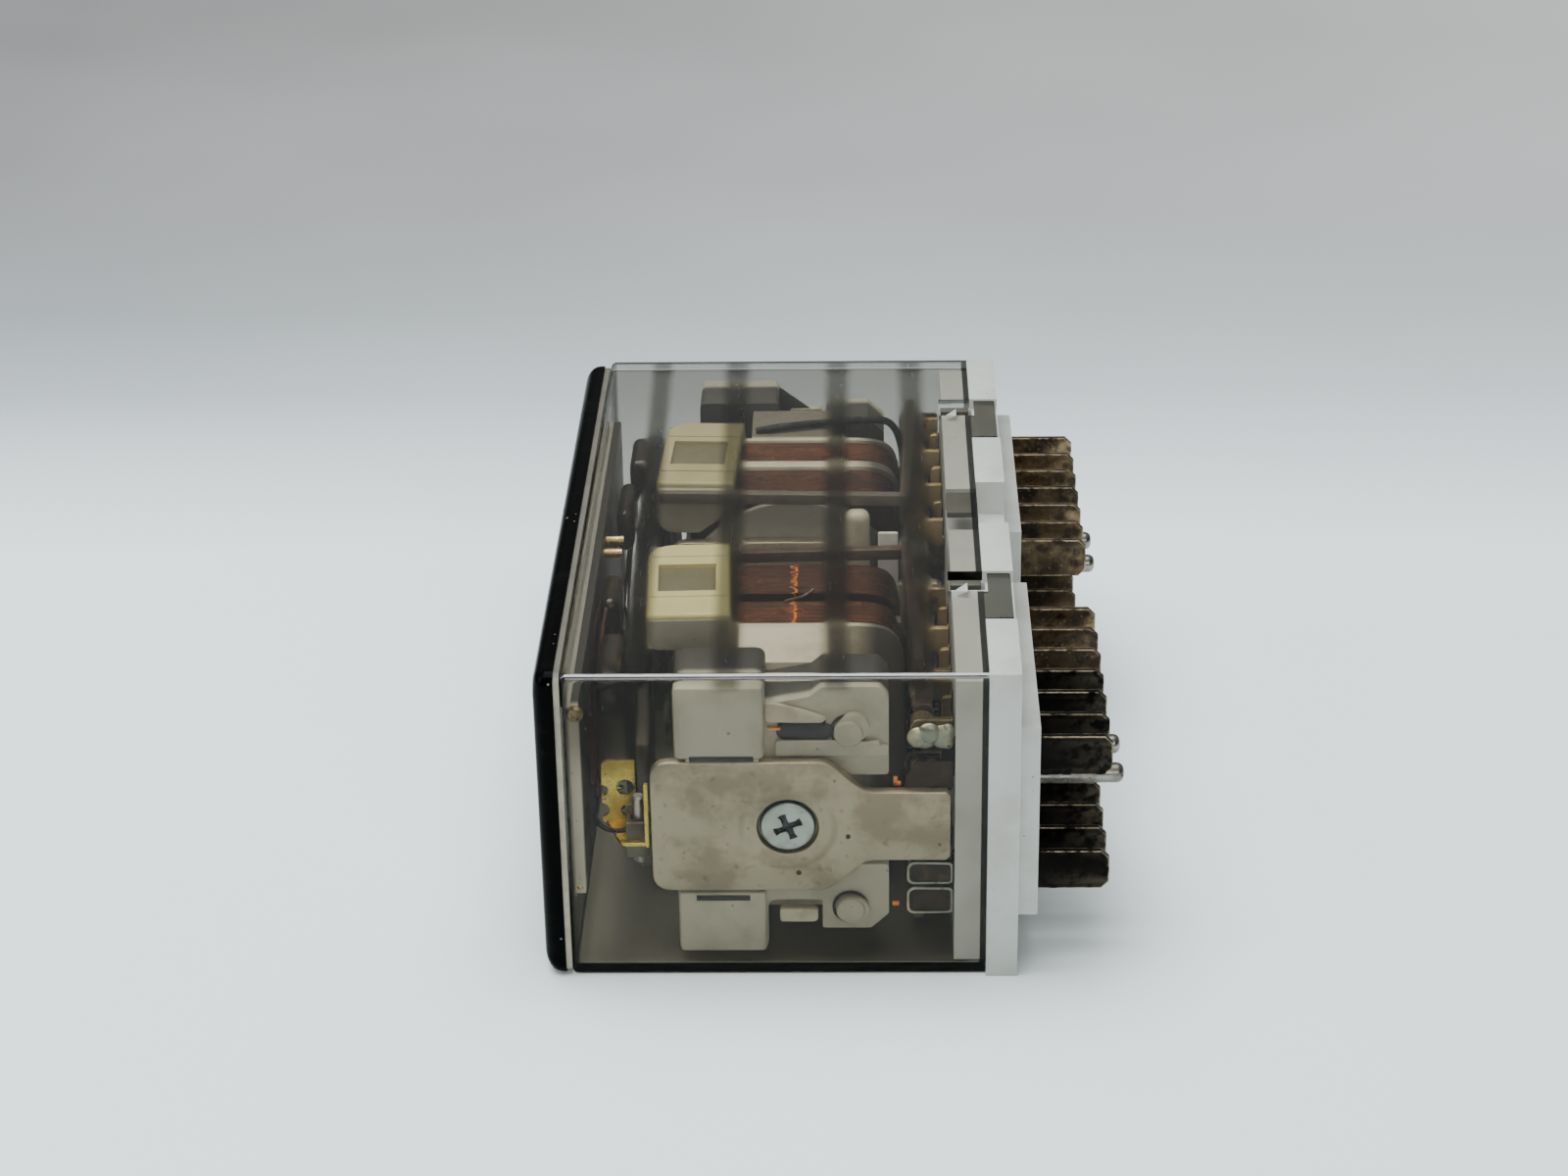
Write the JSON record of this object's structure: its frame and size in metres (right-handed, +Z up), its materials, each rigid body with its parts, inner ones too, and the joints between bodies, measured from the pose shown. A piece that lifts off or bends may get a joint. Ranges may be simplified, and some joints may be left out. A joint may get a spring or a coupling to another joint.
{
  "type": "industrial control relay",
  "caption": "Plug-in industrial control relay: twin hinged-armature magnets in a smoky clear case with a black front rim, white base, flat plug blades and key pins.",
  "frame": {"origin": "middle of the lower face that the relay lies on, at the middle of its overall length and width", "axes": "+X from the black front rim to the blade tips, +Y along the case from unit A to unit B, +Z up from the side it lies on"},
  "size_m": [0.0684, 0.092, 0.04],
  "materials": {
    "black_plastic": "polished black moulding",
    "smoky_clear": "clear smoke-tinted plastic, polished",
    "white_plastic": "satin white moulding",
    "cream_plastic": "satin cream moulding",
    "grey_plastic": "satin warm grey moulding",
    "brown_plastic": "dark brown phenolic moulding",
    "satin_nickel": "satin nickel-plated iron",
    "blue_zinc": "blue zinc plate",
    "pin_steel": "nickel-plated steel",
    "brass_sheet": "bright pressed sheet",
    "tarnished_bronze": "tarnished and speckled, worn bright on the edges",
    "enamelled_copper": "fine enamelled copper wire under an amber film"
  },
  "bodies": {
    "relay_frame": {"front_bezel": "black_plastic", "cover": "smoky_clear", "base": "white_plastic", "name_plate": "cream_plastic", "key_pins_a": "pin_steel", "key_pins_b": "pin_steel", "blade_a_lower_1_closing": "tarnished_bronze", "blade_a_lower_2_common": "tarnished_bronze", "blade_a_lower_3_opening": "tarnished_bronze", "blade_a_lower_4_coil": "tarnished_bronze", "blade_a_lower_5_closing": "tarnished_bronze", "blade_a_lower_6_common": "tarnished_bronze", "blade_a_lower_7_opening": "tarnished_bronze", "blade_a_upper_1_closing": "tarnished_bronze", "blade_a_upper_2_common": "tarnished_bronze", "blade_a_upper_3_opening": "tarnished_bronze", "blade_a_upper_4_coil": "tarnished_bronze", "blade_a_upper_5_closing": "tarnished_bronze", "blade_a_upper_6_common": "tarnished_bronze", "blade_a_upper_7_opening": "tarnished_bronze", "blade_b_lower_1_opening": "tarnished_bronze", "blade_b_lower_2_common": "tarnished_bronze", "blade_b_lower_3_closing": "tarnished_bronze", "blade_b_lower_4_coil": "tarnished_bronze", "blade_b_lower_5_opening": "tarnished_bronze", "blade_b_lower_6_common": "tarnished_bronze", "blade_b_lower_7_closing": "tarnished_bronze", "blade_b_upper_1_opening": "tarnished_bronze", "blade_b_upper_2_common": "tarnished_bronze", "blade_b_upper_3_closing": "tarnished_bronze", "blade_b_upper_4_coil": "tarnished_bronze", "blade_b_upper_5_opening": "tarnished_bronze", "blade_b_upper_6_common": "tarnished_bronze", "blade_b_upper_7_closing": "tarnished_bronze", "outer_yoke_a": "satin_nickel", "core_and_inner_yoke_a": "satin_nickel", "core_screw_a": "blue_zinc", "bobbin_a": "cream_plastic", "winding_a": "enamelled_copper", "upper_contact_frame_a": "grey_plastic", "lower_contact_frame_a": "grey_plastic", "hinge_bracket_a": "brass_sheet", "hinge_pin_a": "pin_steel", "outer_yoke_b": "satin_nickel", "core_and_inner_yoke_b": "satin_nickel", "core_screw_b": "blue_zinc", "bobbin_b": "cream_plastic", "winding_b": "enamelled_copper", "upper_contact_frame_b": "grey_plastic", "lower_contact_frame_b": "grey_plastic", "hinge_bracket_b": "brass_sheet", "hinge_pin_b": "pin_steel"},
    "armature_group_a": {"armature_a": "satin_nickel", "actuator_a": "cream_plastic", "upper_contact_card_a": "brown_plastic", "lower_contact_card_a": "cream_plastic"},
    "armature_group_b": {"armature_b": "satin_nickel", "actuator_b": "cream_plastic", "upper_contact_card_b": "brown_plastic", "lower_contact_card_b": "cream_plastic"}
  },
  "joints": [
    {"name": "armature_hinge_a", "type": "hinge", "parent": "relay_frame", "child": "armature_group_a", "pos_m": [-0.0228, -0.0414, 0.0194], "axis": [0, 0, -1], "range_deg": [0, 2.2], "stiffness_Nm_per_rad": 0.004, "springref_deg": -11.46},
    {"name": "armature_hinge_b", "type": "hinge", "parent": "relay_frame", "child": "armature_group_b", "pos_m": [-0.0228, 0.0414, 0.0206], "axis": [0, 0, 1], "range_deg": [0, 2.2], "stiffness_Nm_per_rad": 0.004, "springref_deg": -11.46}
  ]
}
